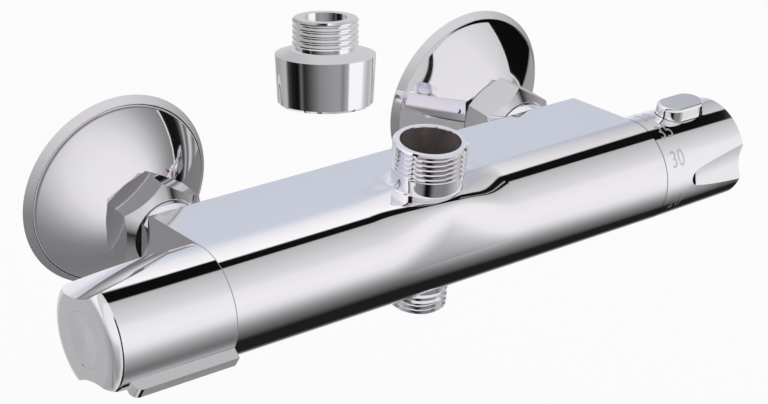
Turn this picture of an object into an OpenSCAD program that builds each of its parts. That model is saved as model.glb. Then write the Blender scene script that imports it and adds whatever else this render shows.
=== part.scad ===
// Thermostatic shower valve: a round bar with a shelf sloping to the wall, a flow knob at the left end,
// a temperature knob at the right end, a threaded outlet above and one below, and two wall unions behind.
// Millimetres. X runs along the bar with the temperature knob at +X, the wall is the plane y = 0 and Z is up.
// The origin lies on the wall, midway between the two inlets.

/* [Bar] */
// Diameter of the round bar and of both knobs
bar_d = 40; // [38:1:46]
// Length of the bar on the flow knob's side of the outlets
bar_left = 90.5; // [89:0.5:120]
// Length of the bar on the temperature knob's side of the outlets
bar_right = 100.5; // [99:0.5:130]
// Reach of the shelf behind the bar's axis
shelf_reach = 37; // [35:1:50]
// Fall of the shelf towards the wall, in degrees
shelf_fall = 7.5; // [0:0.5:12]
// Depth of the rear wall's foot below the bar's axis
heel_drop = 5; // [3:1:10]
// Rounding of the shelf's rear edge
shelf_edge_r = 2; // [0.5:0.5:4]
// Rounding of the rear wall's foot
heel_r = 4; // [1:0.5:6]

/* [Wall connection] */
// Distance of the bar's axis from the wall
wall_to_bar = 77; // [75:1:100]
// Height of the inlets above the bar's axis
inlet_rise = 3; // [0:1:5]
// Distance between the valve's two inlets
inlet_spacing = 160; // [154:1:170]
// Distance between the two pipe sockets in the wall
wall_spacing = 150; // [144:1:160]
// Length of thread that goes into the wall
wall_thread_l = 16; // [10:1:25]
// Width of the union nuts across their flats
nut_flats = 30; // [30:1:34]
// Diameter of the escutcheons at the wall
escutcheon_d = 74; // [60:1:84]
// Wall thickness of the escutcheons
escutcheon_wall = 1.4; // [1:0.1:2]

/* [Outlets] */
// Height of the top outlet's rim above the bar's axis
top_outlet_h = 37.5; // [36:0.5:50]
// Bore of the top outlet
top_bore_d = 21.6; // [16:0.2:22]
// Depth of the bottom outlet's end below the bar's axis
bottom_outlet_h = 27; // [26:0.5:40]
// Bore of the bottom outlet
bottom_bore_d = 15; // [10:0.5:16]

/* [Flow knob] */
// Length of the flow knob
flow_knob_l = 45.2; // [44:0.2:60]
// Rounding of the flow knob's end
flow_knob_end_r = 4; // [1:0.5:5]
// Depth of the two finger scoops at the knob's end
flow_scoop_depth = 5.75; // [2:0.25:6]
// Length of the two finger scoops
flow_scoop_l = 32; // [20:1:38]
// Radius across a flow scoop
flow_scoop_r = 35; // [20:1:50]
// Angle of the upper scoop above the front, in degrees
flow_scoop_angle = 110; // [90:1:130]
// Width of the finger bar on the knob
lug_w = 5.2; // [4:0.2:8]
// Height of the finger bar above the knob
lug_rise = 3.8; // [2:0.2:5]
// Length of the finger bar
lug_l = 38.5; // [25:0.5:42]
// Angle of the finger bar below the front, in degrees
lug_angle = 29; // [20:1:30]

/* [Temperature knob] */
// Length of the temperature knob
temp_knob_l = 41.6; // [41:0.2:60]
// Depth of the two thumb scoops at the knob's end
temp_scoop_depth = 3.6; // [2:0.2:4]
// Depth of a thumb scoop where its round inner end begins
temp_scoop_start_depth = 0.9; // [0.5:0.1:1.5]
// Length of a thumb scoop without its round inner end
temp_scoop_l = 23.7; // [15:0.5:25]
// Radius across a thumb scoop
temp_scoop_r = 16; // [12:0.5:25]
// Angle of the front scoop above the front, in degrees
temp_scoop_angle = 4.5; // [-10:0.5:10]
// Length of the safety button along the knob
button_l = 20; // [16:0.5:20]
// Width of the safety button
button_w = 12; // [9:0.5:12]
// Height of the safety button above the knob
button_rise = 4; // [3:0.5:6]
// Travel of the safety button when it is pressed
button_travel = 2; // [1:0.1:2]

/* [Loose adapter] */
// Largest diameter of the adapter's collar
adapter_d = 32; // [31:0.5:40]
// Height of the adapter's collar
adapter_collar_h = 16; // [14:0.5:24]
// Length of thread on the adapter's spigot
adapter_thread_l = 9.07; // [5:0.01:15]
// Centre of the adapter from the origin, along X
adapter_x = -54.6; // [-60:0.1:60]
// Centre of the adapter from the wall
adapter_y = -87.4; // [-100:0.1:-80]
// Centre of the adapter above the inlets
adapter_z = 80.8; // [70:0.1:120]
// Lean of the adapter towards the wall, in degrees
adapter_lean_back = 11; // [0:1:20]
// Lean of the adapter to the right, in degrees
adapter_lean_side = 4.2; // [0:0.1:10]

/* [Hidden] */
$fn = 96;

// Clearances and overruns
cut = 1;                   // overrun of a cut past a face
seam_gap = 0.3;            // visible gap between a knob and the bar
run_gap = 0.05;            // radial gap of a shaft that turns or slides in a hole
fit_gap = 0.05;            // radial gap between two pieces fixed together
face_gap = 0.1;            // gap between two faces that slide past each other

// British pipe threads, drawn as rings with their crests at the true major diameter
half_inch_r = 10.48;
three_quarter_r = 13.22;
pitch = 1.814;
thread_depth = 1.16;
crest_share = 0.22;
root_share = 0.22;
outlet_turns = 6;
bottom_turns = 3;
rim_chamfer = 0.6;

// Sizes that follow from the bar
bar_r = bar_d / 2;
inlet_x = inlet_spacing / 2;
wall_x = wall_spacing / 2;
heel_y = shelf_reach - heel_r;
shelf_dip = 0.02;          // the shelf meets the round bar this far under its tangent
shelf_r = bar_r - shelf_dip;
shelf_edge_z = (shelf_r - shelf_edge_r - (shelf_reach - shelf_edge_r) * sin(shelf_fall)) / cos(shelf_fall);

// Outlets
top_collar_r = 13;
top_land_end = top_outlet_h - rim_chamfer;
bottom_land_end = bottom_outlet_h - rim_chamfer;
bottom_neck_r = 9.6;
bottom_fillet = 1.5;

// Water ways inside the bar
way_r = 5;                 // mixed water, along the bar's axis
outlet_way_r = 3.2;        // from the flow cartridge to each outlet
outlet_way_inset = 9.5;    // from the bar's surface to the way's axis
outlet_way_z = bar_r - outlet_way_inset;
outlet_floor_z = 8;        // inner end of both outlet bores
gallery_r = 4.5;           // hot water, behind the flow cartridge
gallery_y = 25;
port_r = 4;
inlet_way_r = 6;
way_overlap = 2;           // overrun of a way into the cartridge's bore

// Inlet bosses, with the tails that are screwed into them
boss_r = 12.5;
boss_rise = 4;             // boss past the shelf's rear edge
boss_end = shelf_reach + boss_rise;
tail_thread_r = 9.5;
tail_depth = 11;
tail_foot = boss_end - tail_depth;
tail_neck_r = 10.2;
tail_neck_l = 5.5;
tail_flange_r = 11.9;
tail_flange_l = 2;
tail_bore_r = 8;
tail_foot_bore_r = 6;
tail_floor = 3;
tail_flange_y = boss_end + tail_neck_l;
tail_end = tail_flange_y + tail_flange_l;

// Union nuts
nut_front = boss_end + seam_gap;
nut_cone_l = 3.9;
nut_cone_r = 12.8;
nut_l = 16.7;
nut_end = nut_front + nut_l;
nut_chamfer_l = 1.6;
nut_corner_r = nut_flats / sqrt(3);
nut_face_step = 0.3;       // rear face's radius below half the flats
nut_face_r = nut_flats / 2 - nut_face_step;

// Filter washers
washer_l = 2.5;
washer_r = 11.6;
washer_hole_r = 7;
washer_end = tail_end + washer_l;

// Eccentric wall connectors
neck_gap = 1;              // from the union nut to the escutcheon
neck_y = nut_end + neck_gap;
eccentric_turns = 7;
eccentric_relief = 2.3;    // plain length behind the front thread
eccentric_body_y = washer_end + eccentric_turns * pitch + eccentric_relief;
eccentric_body_r = 14;
eccentric_body_l = 6;
eccentric_step_y = eccentric_body_y + eccentric_body_l;
eccentric_front_bore_r = 9;
eccentric_rear_bore_r = 7;
stub_neck_r = 9.2;
wall_turns = floor((wall_thread_l - rim_chamfer) / pitch - crest_share + 1);

// Escutcheons
neck_r = 17;
neck_boss_l = 5;
rim_l = 4.8;
rim_slope = 1.8;
rim_front_r = escutcheon_d / 2 - rim_slope;
rim_y = wall_to_bar - rim_l;
rim_round = 0.6;
cove_steps = 14;

// Marker dots on the escutcheons' necks
marker_r = 1.5;
marker_depth = 1.5;
marker_rise = 0.3;
marker_inset = 2.2;        // from the neck's front rim
marker_y = neck_y + marker_inset;
cold_marker_angle = 164;
hot_marker_angle = 49;

// Check valves in the tails
check_foot = tail_foot + tail_floor + face_gap;
check_l = 14;              // leaves the poppet 3 mm of travel
check_r = tail_bore_r - fit_gap;
check_bore_r = 6.2;
check_spider_l = 2;
check_seat_l = 2;
check_seat_r = 4.6;
check_stem_r = 1.5;
check_hole_r = 1.4;
check_hole_circle_r = 4;
check_disc_r = 5.5;
check_disc_l = 1.2;
check_holes = 6;
check_spring_r = 3.2;
check_wire_r = 0.4;
check_curls = 5;
check_end = check_foot + check_l;
check_seat_y = check_end - check_seat_l;
check_disc_y = check_seat_y - face_gap - check_disc_l;

// Pieces that both knobs have
end_recess_r = 9.6;
end_recess_l = 2;
cap_dish = 0.3;
cap_rim = 1;
cap_nick_r = 0.7;
screw_r = 1.95;
screw_head_r = 3.8;
screw_head_l = 2.2;
screw_pocket_r = 4.2;
screw_pocket_l = 3;
screw_hole_r = screw_r + fit_gap;
screw_hex_r = 1.5;
screw_hex_l = 1.2;
screw_grip = 4;            // length of screw in the spindle
nose_share = 0.4;
nose_r = nose_share * bar_r;
stop_plate_l = 2;
stop_lug_l = 3;
stop_gap = 1;              // from a stop ring to the knob's skirt
stop_inset = 0.6;          // from the bar's end to the stop ring
nose_over = 0.1;           // nose past the stop ring
tab_w = 5;
tab_l = 2.5;
tab_gap = 0.6;             // from the stop ring's plate to the insert
hub_share = 0.35;
hub_r = hub_share * bar_r;
spline_share = 0.19;
spline_r = spline_share * bar_r;
spline_l = 8.5;
spline_teeth = 12;
spline_tooth_r = 0.45;
insert_disc_l = 4;
spindle_share = 0.25;
spindle_r = spindle_share * bar_r;
lug_root = 7;              // depth of the finger bar's root inside the knob
lug_foot_r = bar_r - lug_root;
lug_end_r = 3;

// Flow cartridge, measured from the bar's left end inwards
flow_bore_wall = 5;
flow_bore_r = bar_r - flow_bore_wall;
flow_bore_l = 30.5;
flow_skirt_wall = 4.5;
flow_skirt_r = bar_r - flow_skirt_wall;
flow_skirt_l = 12.2;
flow_cavity_step = 4.5;    // from the skirt's radius in to the cavity's
flow_cavity_r = flow_skirt_r - flow_cavity_step;
flow_stop_r = flow_skirt_r - stop_gap;
flow_lug_share = 5 / 13;   // of the way from the nose to the stop ring's rim
flow_lug_r = nose_r + flow_lug_share * (flow_stop_r - nose_r);
flow_end_wall = 8;
flow_shell_r = flow_bore_r - fit_gap;
flow_chamber_wall = 3.5;
flow_chamber_r = flow_bore_r - flow_chamber_wall;
flow_seal_l = 2;
flow_seal_margin = 2;
flow_seal_r = flow_bore_r - flow_seal_margin;
disc_l = 3;
disc_r = flow_chamber_r - 2 * run_gap;
disc_port_r = 2.4;
disc_port_inset = 3.2;
disc_port_z = disc_r - disc_port_inset;
disc_land = 1.8;            // between the inlet's hole and an outlet's
disc_inlet_r = disc_port_z - disc_port_r - disc_land;
disc_slot_w = 4.4;
disc_slot_depth = 1.6;
seal_port_r = 2.6;
seal_port_inset = 4;
seal_port_z = flow_seal_r - seal_port_inset;
carrier_l = 3.6;
carrier_gap = 0.3;
carrier_r = flow_chamber_r - carrier_gap;
flow_chamber_l = 10.2;
flow_nut_l = 8;
flow_nut_slot_w = 3;
flow_nut_slot_depth = 1.5;
flow_groove_l = 2.2;
flow_foot = bar_left - flow_bore_l;
flow_disc_z = flow_foot + flow_seal_l;
flow_moving_z = flow_disc_z + disc_l + run_gap;
flow_carrier_z = flow_moving_z + disc_l;
flow_wall_z = flow_disc_z + flow_chamber_l;
flow_nut_inset = 0.5;      // retaining nut below the bar's end
flow_nut_z = bar_left - flow_nut_inset - flow_nut_l;
flow_stop_z = bar_left + stop_inset;
flow_nose_end = flow_stop_z + stop_plate_l + nose_over;
flow_insert_z = flow_stop_z + stop_plate_l + tab_gap;
flow_knob_z = bar_left + seam_gap;
flow_knob_end = flow_knob_z + flow_knob_l;
flow_wall_in = flow_knob_end - flow_end_wall;
flow_tab_angle = 90;
flow_range = 90;

// Thermostatic cartridge, measured from the bar's right end inwards
temp_skirt_wall = 3;
temp_skirt_r = bar_r - temp_skirt_wall;
temp_stop_r = temp_skirt_r - stop_gap;
temp_lug_share = 1 / 2;
temp_lug_r = nose_r + temp_lug_share * (temp_stop_r - nose_r);
temp_skirt_l = 11.2;
temp_cavity_r = 13.5;
temp_end_wall = 8.4;
thermo_bore_r = 13.5;
thermo_bore_l = 48.5;
thermo_head_bore_r = 15.5;
thermo_head_l = 12.5;
thermo_flange_l = 3;
thermo_nut_l = 8;
thermo_chamber_r = 10;
thermo_wall_l = 5;
thermo_groove_r = 11.6;
thermo_groove_l = 5;
thermo_port_r = 1.8;
thermo_ports = 8;
thermo_cap_l = 2.2;
thermo_outlet_r = 5.5;
thermo_foot = bar_right - thermo_bore_l;
thermo_seat_z = bar_right - thermo_head_l;
thermo_flange_z = thermo_seat_z + thermo_flange_l;
thermo_chamber_end = thermo_flange_z - thermo_wall_l;
thermo_stop_z = bar_right + stop_inset;
thermo_nose_end = thermo_stop_z + stop_plate_l + nose_over;
thermo_insert_z = thermo_stop_z + stop_plate_l + tab_gap;
cold_port_z = inlet_x;
hot_port_step = 12;        // from the cartridge's foot
hot_port_z = thermo_foot + hot_port_step;
temp_knob_z = bar_right + seam_gap;
temp_knob_end = temp_knob_z + temp_knob_l;
temp_wall_in = temp_knob_end - temp_end_wall;
temp_taper = 0.5;
temp_end_r = bar_r - temp_taper;
temp_tab_angle = 0;
temp_hotter = 50;          // turn from 38 degrees to the hot stop
temp_colder = 110;         // turn from 38 degrees to the cold stop

// Seal rings
oring_r = 0.8;             // radius of a ring's section
groove_w = 2.2;

// Moving pieces in the thermostatic cartridge
shuttle_l = 11.4;
shuttle_bore_r = 8;
shuttle_web = 1.2;         // from the shuttle's inner end to its web
shuttle_web_l = 1.5;
shuttle_step = 2.8;        // from the hot port's middle
shuttle_z = hot_port_z + shuttle_step;
web_z = shuttle_z + shuttle_web;
web_hole_r = 1.3;
web_hole_circle_r = 6.1;
web_holes = 8;
element_r = 4.6;
element_l = 12;
element_neck_r = 4;
element_neck_l = 2.5;
element_pin_r = 1.3;
element_pin_l = 2.6;
thrust_r = 3.3;
thrust_l = 2;
adjuster_r = 5.3;
adjuster_l = 9;
adjuster_bore_r = 3.4;
adjuster_floor = 2;
cup_r = 7.4;
cup_bore_r = adjuster_r + run_gap;
cup_floor = 2;
cup_flange_r = 8.5;
cup_flange_l = 1.8;
cup_l = 10;
cup_z = thermo_chamber_end - cup_l;
return_wire_r = 0.6;
return_spring_r = 6.4;
return_curls = 6;
overload_wire_r = 0.45;
overload_spring_r = 2.6;
overload_curls = 4;
neck_end_z = web_z + element_neck_l;
thrust_z = neck_end_z + element_pin_l;
adjuster_z = thrust_z - face_gap;
return_z = thermo_foot + thermo_cap_l;

// Safety button
button_step = 21.5;        // from the knob's start to the button's middle
button_x = temp_knob_z + button_step;
button_gap = 0.3;
button_rim = 1.2;
button_flange_l = 22;
button_flange_w = 14;
button_flange_t = 1.9;
button_foot = hub_r + button_gap + button_travel;
button_spring_r = 1.9;
button_wire_r = 0.3;
button_curls = 5;
button_pocket_r = 2.7;
button_pocket_t = 1;
hub_pocket_floor = 3.6;

// Adapter
adapter_taper = 0.75;
adapter_shoulder_h = 1.6;
adapter_neck_h = 1;
adapter_neck_r = 9.6;
adapter_socket_h = 11;
adapter_bore_r = 7;
adapter_turns = 5;
adapter_base_chamfer = 0.8;
adapter_washer_l = 2;
adapter_h = adapter_collar_h + adapter_shoulder_h + adapter_neck_h + adapter_thread_l;

// Spring wire: six sides, eight rings to a curl
wire_sides = 6;
rings_per_curl = 8;

chrome = "gainsboro";
brass = "darkgoldenrod";

// Frames
module at_bar() translate([0, -wall_to_bar, -inlet_rise]) children();

// Local z runs from the outlets to the right, local x up and local y to the front
module at_right() at_bar() rotate([0, 90, 0]) rotate(180) children();

// Local z runs from the outlets to the left, local x up and local y to the wall
module at_left() at_bar() rotate([0, -90, 0]) children();

// Local z runs to the wall on an inlet's axis, counted from the bar's axis; side is -1 for hot, 1 for cold
module at_inlet(side) at_bar() translate([side * inlet_x, 0, inlet_rise]) rotate([-90, 0, 0]) children();

// General shapes
module rod(r, z0, z1) translate([0, 0, z0]) cylinder(r = r, h = z1 - z0);

module tube(r, hole, z0, z1) difference() {
    rod(r, z0, z1);
    rod(hole, z0 - cut, z1 + cut);
}

// Points of one thread flank after another, from the first crest up
function thread_points(r, z0, turns) = [
    for (i = [0 : turns - 1])
        for (p = [
            [r, 0],
            [r, crest_share * pitch],
            [r - thread_depth, (1 - root_share + crest_share) / 2 * pitch],
            [r - thread_depth, (1 + root_share + crest_share) / 2 * pitch]
        ])
            if (i < turns - 1 || p[1] <= crest_share * pitch)
                [p[0], z0 + i * pitch + p[1]]
];

function thread_length(turns) = (turns - 1 + crest_share) * pitch;

// Solid threaded rod from z0 to z1 whose last crest ends at top_crest
module threaded_rod(r, core_r, z0, z1, top_crest, turns) {
    first = top_crest - thread_length(turns);
    tip_r = r - (z1 - top_crest);
    rotate_extrude() polygon(concat(
        [[0, z0], [core_r, z0], [core_r, first - thread_depth / 2]],
        thread_points(r, first, turns),
        [[tip_r, z1], [0, z1]]
    ));
}

// Part of a ring between two angles less than 300 degrees apart
module ring_sector(r, hole, z0, z1, from, to) intersection() {
    tube(r, hole, z0, z1);
    translate([0, 0, z0]) linear_extrude(z1 - z0) polygon(concat(
        [[0, 0]],
        [for (i = [0 : 4]) 3 * r * [cos(from + i * (to - from) / 4), sin(from + i * (to - from) / 4)]]
    ));
}

module seal_ring(r, z) translate([0, 0, z]) rotate_extrude() translate([r - oring_r, 0]) circle(oring_r);

// Outline of round corners [y, z, radius] in counter-clockwise order
function outer_angle(a, b) =
    atan2(b[1] - a[1], b[0] - a[0]) - acos((a[2] - b[2]) / norm([b[0] - a[0], b[1] - a[1]]));

function edge_point(c, angle) = [c[0] + c[2] * cos(angle), c[1] + c[2] * sin(angle)];

module rounded_outline(corners) {
    n = len(corners);
    polygon([
        for (i = [0 : n - 1])
            for (end = [0, 1])
                edge_point(corners[(i + end) % n], outer_angle(corners[i], corners[(i + 1) % n]))
    ]);
    for (c = corners) translate([c[0], c[1]]) circle(c[2]);
}

// Spring: one unbroken tube of round wire, wound about local z
function coil_ring(r, wire, curls, z0, z1, i) = [
    for (j = [0 : wire_sides - 1])
        let (turn = 360 * i / rings_per_curl, side = 360 * j / wire_sides)
            let (reach = r + wire * cos(side))
                [
                    reach * cos(turn),
                    reach * sin(turn),
                    z0 + wire + (z1 - z0 - 2 * wire) * i / (curls * rings_per_curl) + wire * sin(side)
                ]
];

module coil(r, wire, curls, z0, z1) {
    rings = curls * rings_per_curl;
    gap = (z1 - z0 - 2 * wire) / curls - 2 * wire;
    echo(least_gap_between_curls = gap);
    points = [for (i = [0 : rings]) for (p = coil_ring(r, wire, curls, z0, z1, i)) p];
    walls = [
        for (i = [0 : rings - 1])
            for (j = [0 : wire_sides - 1])
                let (k = (j + 1) % wire_sides, a = i * wire_sides, b = a + wire_sides)
                    for (f = [[a + j, b + k, a + k], [a + j, b + j, b + k]])
                        f
    ];
    first = [[for (j = [0 : wire_sides - 1]) j]];
    last = [[for (j = [wire_sides - 1 : -1 : 0]) rings * wire_sides + j]];
    polyhedron(points, concat(walls, first, last));
}

// Bar with its shelf, bosses, outlets and water ways
module bar_outline() {
    circle(bar_r);
    rounded_outline([
        [0, 0, shelf_r],
        [heel_y, -heel_drop, heel_r],
        [shelf_reach - shelf_edge_r, shelf_edge_z, shelf_edge_r]
    ]);
}

module bar_block() at_bar() translate([-bar_left, 0, 0]) rotate([90, 0, 90])
    linear_extrude(bar_left + bar_right) bar_outline();

// A boss stops flush with the bar's end where it would stand past it
module inlet_boss(side) intersection() {
    at_inlet(side) rod(boss_r, shelf_reach - heel_r, boss_end);
    at_bar() translate([-bar_left, 0, -bar_d]) cube([bar_left + bar_right, 2 * boss_end, 2 * bar_d]);
}

module top_outlet() at_bar()
    threaded_rod(three_quarter_r, top_collar_r, 0, top_outlet_h, top_land_end, outlet_turns);

module bottom_outlet() at_bar() mirror([0, 0, 1]) {
    threaded_rod(half_inch_r, bottom_neck_r, 0, bottom_outlet_h, bottom_land_end, bottom_turns);
    bottom_outlet_fillet();
}

// Cone that eases the bottom outlet into the round bar
module bottom_outlet_fillet() rotate_extrude() polygon([
    [0, 0],
    [bottom_neck_r + bar_r - bar_r * cos(asin(bottom_neck_r / bar_r)), 0],
    [bottom_neck_r + bottom_fillet, bar_r - bottom_fillet],
    [bottom_neck_r, bar_r + bottom_fillet / 2],
    [0, bar_r + bottom_fillet / 2]
]);

module flow_bores() at_left() {
    rod(flow_bore_r, flow_foot, bar_left + cut);
    for (up = [-1, 1])
        translate([up * outlet_way_z, 0, 0]) rod(outlet_way_r, 0, flow_foot + cut);
}

module thermo_bores() at_right() {
    rod(thermo_bore_r, thermo_foot, bar_right + cut);
    rod(thermo_head_bore_r, thermo_seat_z, bar_right + cut);
}

module inlet_bores() {
    for (side = [-1, 1]) at_inlet(side) rod(tail_thread_r, tail_foot - face_gap, boss_end + cut);
    at_inlet(-1) rod(inlet_way_r, gallery_y, boss_end);
    at_inlet(1) rod(inlet_way_r, thermo_bore_r - way_overlap, boss_end);
}

module water_ways() {
    at_bar() translate([-flow_foot, 0, 0]) rotate([0, 90, 0]) rod(way_r, -cut, flow_foot + thermo_foot + cut);
    at_bar() translate([-inlet_x, gallery_y, inlet_rise]) rotate([0, 90, 0])
        rod(gallery_r, 0, inlet_x + hot_port_z);
    at_bar() translate([hot_port_z, 0, inlet_rise]) rotate([-90, 0, 0]) rod(port_r, thermo_bore_r - way_overlap, gallery_y);
}

module outlet_bores() at_bar() {
    rod(top_bore_d / 2, outlet_floor_z, top_outlet_h + cut);
    mirror([0, 0, 1]) rod(bottom_bore_d / 2, outlet_floor_z, bottom_outlet_h + cut);
}

module valve_body() color(chrome) difference() {
    union() {
        bar_block();
        for (side = [-1, 1]) inlet_boss(side);
        top_outlet();
        bottom_outlet();
    }
    flow_bores();
    thermo_bores();
    inlet_bores();
    water_ways();
    outlet_bores();
}

// Escutcheon: a concave trumpet with a short rim at the wall, screwed on the eccentric by its neck
function cove(t) = [
    neck_r + (rim_front_r - neck_r) * (1 - cos(t)),
    neck_y + (rim_y - neck_y) * sin(t)
];

function cove_inside(t) =
    let (out = [(rim_y - neck_y) * cos(t), (rim_front_r - neck_r) * sin(t)])
        cove(t) + escutcheon_wall * [-out[0], out[1]] / norm(out);

module escutcheon(side) color(chrome) at_inlet(side) difference() {
    rotate_extrude() polygon(concat(
        [[three_quarter_r + fit_gap, neck_y]],
        [for (i = [0 : cove_steps]) cove(90 * i / cove_steps)],
        [
            [escutcheon_d / 2 - rim_round, rim_y],
            [escutcheon_d / 2 - rim_round / 4, rim_y + rim_round],
            [escutcheon_d / 2, wall_to_bar],
            [escutcheon_d / 2 - escutcheon_wall, wall_to_bar],
            [escutcheon_d / 2 - escutcheon_wall, rim_y + escutcheon_wall]
        ],
        [
            for (i = [cove_steps : -1 : 0])
                let (p = cove_inside(90 * i / cove_steps))
                    if (p[1] > neck_y + neck_boss_l && p[1] < rim_y + escutcheon_wall)
                        p
        ],
        [[neck_r - escutcheon_wall, neck_y + neck_boss_l], [three_quarter_r + fit_gap, neck_y + neck_boss_l]]
    ));
    marker_shape(side, marker_r + fit_gap / 2, cut);
}

// Marker dot let into the neck; side is -1 for hot, 1 for cold
module marker_shape(side, r, rise) {
    angle = side < 0 ? hot_marker_angle : cold_marker_angle;
    rotate(-angle) translate([neck_r - marker_depth, 0, marker_y]) rotate([0, 90, 0])
        cylinder(r = r, h = marker_depth + rise);
}

module marker(side) color(side < 0 ? "firebrick" : "royalblue") at_inlet(side)
    marker_shape(side, marker_r, marker_rise);

// Eccentric wall connector: its rear half stands off the inlet's axis
module eccentric(side) color(brass) at_inlet(side) {
    shift = side * (wall_x - inlet_x);
    difference() {
        union() {
            mirror([0, 0, 1]) threaded_rod(
                three_quarter_r, three_quarter_r - thread_depth, -eccentric_body_y - cut, -washer_end,
                -washer_end - rim_chamfer, eccentric_turns
            );
            translate([shift / 2, 0, 0]) rod(eccentric_body_r, eccentric_body_y, eccentric_step_y);
            translate([shift, 0, 0]) threaded_rod(
                half_inch_r, stub_neck_r, eccentric_body_y + cut, wall_to_bar + wall_thread_l,
                wall_to_bar + wall_thread_l - rim_chamfer, wall_turns
            );
        }
        rod(eccentric_front_bore_r, washer_end - cut, eccentric_body_y + eccentric_body_l / 2);
        translate([shift, 0, 0])
            rod(eccentric_rear_bore_r, eccentric_body_y, wall_to_bar + wall_thread_l + cut);
    }
}

// Union nut: a hexagon with a cone at the front, running on the tail's neck
module union_nut(side) color(chrome) at_inlet(side) difference() {
    intersection() {
        rotate(30) translate([0, 0, nut_front]) cylinder(r = nut_corner_r, h = nut_end - nut_front, $fn = 6);
        rotate_extrude() polygon([
            [0, nut_front],
            [nut_cone_r, nut_front],
            [nut_corner_r, nut_front + nut_cone_l],
            [nut_corner_r, nut_end - nut_chamfer_l],
            [nut_face_r, nut_end - nut_chamfer_l / 3],
            [nut_face_r, nut_end],
            [0, nut_end]
        ]);
    }
    rod(tail_neck_r + run_gap, nut_front - cut, nut_end);
    rod(three_quarter_r + fit_gap, tail_flange_y, nut_end + cut);
}

module inlet_tail(side) color(brass) at_inlet(side) difference() {
    union() {
        rod(tail_thread_r - fit_gap, tail_foot, boss_end);
        rod(tail_neck_r, boss_end, tail_flange_y);
        rod(tail_flange_r, tail_flange_y, tail_end);
    }
    rod(tail_foot_bore_r, tail_foot - cut, tail_end);
    rod(tail_bore_r, tail_foot + tail_floor, tail_end + cut);
}

// Rubber washer with a strainer plate across its hole
module filter_washer(side) color("dimgray") at_inlet(side) difference() {
    rod(washer_r, tail_end, washer_end);
    rod(washer_hole_r, tail_end - cut, tail_end + washer_l / 3);
    rod(washer_hole_r, washer_end - washer_l / 3, washer_end + cut);
    for (ring = [1, 2], i = [1 : 6 * ring])
        rotate(60 * i / ring) translate([ring * washer_hole_r / 3, 0, 0])
            rod(washer_hole_r / 8, tail_end - cut, washer_end + cut);
}

// Check valve: the supply pushes the poppet towards the bar, its spring shuts it
module check_housing(side) color("whitesmoke") at_inlet(side) difference() {
    rod(check_r, check_foot, check_end);
    rod(check_bore_r, check_foot + check_spider_l, check_seat_y);
    rod(check_seat_r, check_seat_y - cut, check_end + cut);
    rod(check_stem_r, check_foot - cut, check_end);
    for (i = [1 : check_holes])
        rotate(360 * i / check_holes) translate([check_hole_circle_r, 0, 0])
            rod(check_hole_r, check_foot - cut, check_end - check_seat_l);
}

module check_poppet(side) color("whitesmoke") at_inlet(side) {
    rod(check_disc_r, check_disc_y, check_disc_y + check_disc_l);
    rod(check_stem_r - run_gap, check_foot, check_disc_y + check_disc_l);
}

module check_spring(side) color("silver") at_inlet(side)
    coil(check_spring_r, check_wire_r, check_curls, check_foot + check_spider_l, check_disc_y);

// Parts that both knobs share; z values are local to a knob's side
module knob_bores(skirt_r, skirt_end, cavity_r, start, wall_in, end) {
    rod(skirt_r, start - cut, skirt_end);
    rod(cavity_r, start, wall_in);
    rod(screw_hole_r, start, end);
    rod(screw_pocket_r, end - end_recess_l - screw_pocket_l, end);
    rod(end_recess_r, end - end_recess_l, end + cut);
}

// Dished cap with a small nick for prying it out, at angle nick
module end_cap(end, nick) color(chrome) difference() {
    rod(end_recess_r - run_gap, end - end_recess_l, end);
    rotate_extrude() polygon([[0, end - cap_dish], [end_recess_r - cap_rim, end], [0, end + cut]]);
    rotate(nick) translate([end_recess_r, 0, 0]) rod(cap_nick_r, end - end_recess_l / 2, end + cut);
}

// Socket screw from the knob's end wall into the spindle
module knob_screw(head_z, spindle_end) color("silver") difference() {
    union() {
        rod(screw_r, spindle_end - screw_grip, head_z);
        rod(screw_head_r, head_z, head_z + screw_head_l);
    }
    translate([0, 0, head_z + screw_head_l - screw_hex_l]) cylinder(r = screw_hex_r, h = screw_hex_l + cut, $fn = 6);
}

module spline_head(r, z0, z1) {
    rod(r - spline_tooth_r, z0, z1);
    for (i = [1 : spline_teeth])
        rotate(360 * i / spline_teeth) translate([r - spline_tooth_r, 0, 0]) rod(spline_tooth_r, z0, z1);
}

// Plastic insert between a spindle and its knob, with the tab that meets the stop ring
module spline_insert(z0, spindle_end, wall_in, disc_r, tab_reach, tab_angle) difference() {
    union() {
        rod(hub_r, z0, wall_in);
        rod(disc_r, wall_in - insert_disc_l, wall_in);
        rotate(tab_angle) translate([0, -tab_w / 2, z0]) cube([tab_reach, tab_w, tab_l]);
    }
    rod(spline_r + fit_gap, z0 - cut, spindle_end + face_gap);
    rod(screw_hole_r, spindle_end, wall_in + cut);
}

// Ring on a cartridge's nose whose lug stops the insert's tab at both ends of its turn
module stop_ring(z0, r, lug_r, from, to) {
    tube(r, nose_r + fit_gap, z0, z0 + stop_plate_l);
    ring_sector(r, lug_r, z0 + stop_plate_l - face_gap, z0 + stop_plate_l + stop_lug_l, from, to);
}

function tab_half_angle(lug_r) = atan(tab_w / 2 / lug_r) + 1.5;

// Flow knob
module flow_scoop() translate([bar_r + flow_scoop_r, 0, flow_knob_end - flow_scoop_l])
    rotate([0, -atan(flow_scoop_depth / flow_scoop_l), 0])
        rod(flow_scoop_r, -flow_scoop_l, 2 * flow_scoop_l);

module finger_bar() rotate(-lug_angle - 90) translate([0, lug_w / 2, flow_knob_z]) rotate([90, 0, 0])
    linear_extrude(lug_w) translate([lug_foot_r, 0]) difference() {
        square([bar_r + lug_rise - lug_foot_r, lug_l]);
        translate([bar_r + lug_rise - lug_foot_r - lug_end_r, lug_l - lug_end_r]) difference() {
            square(lug_end_r + cut);
            circle(lug_end_r);
        }
    }

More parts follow.
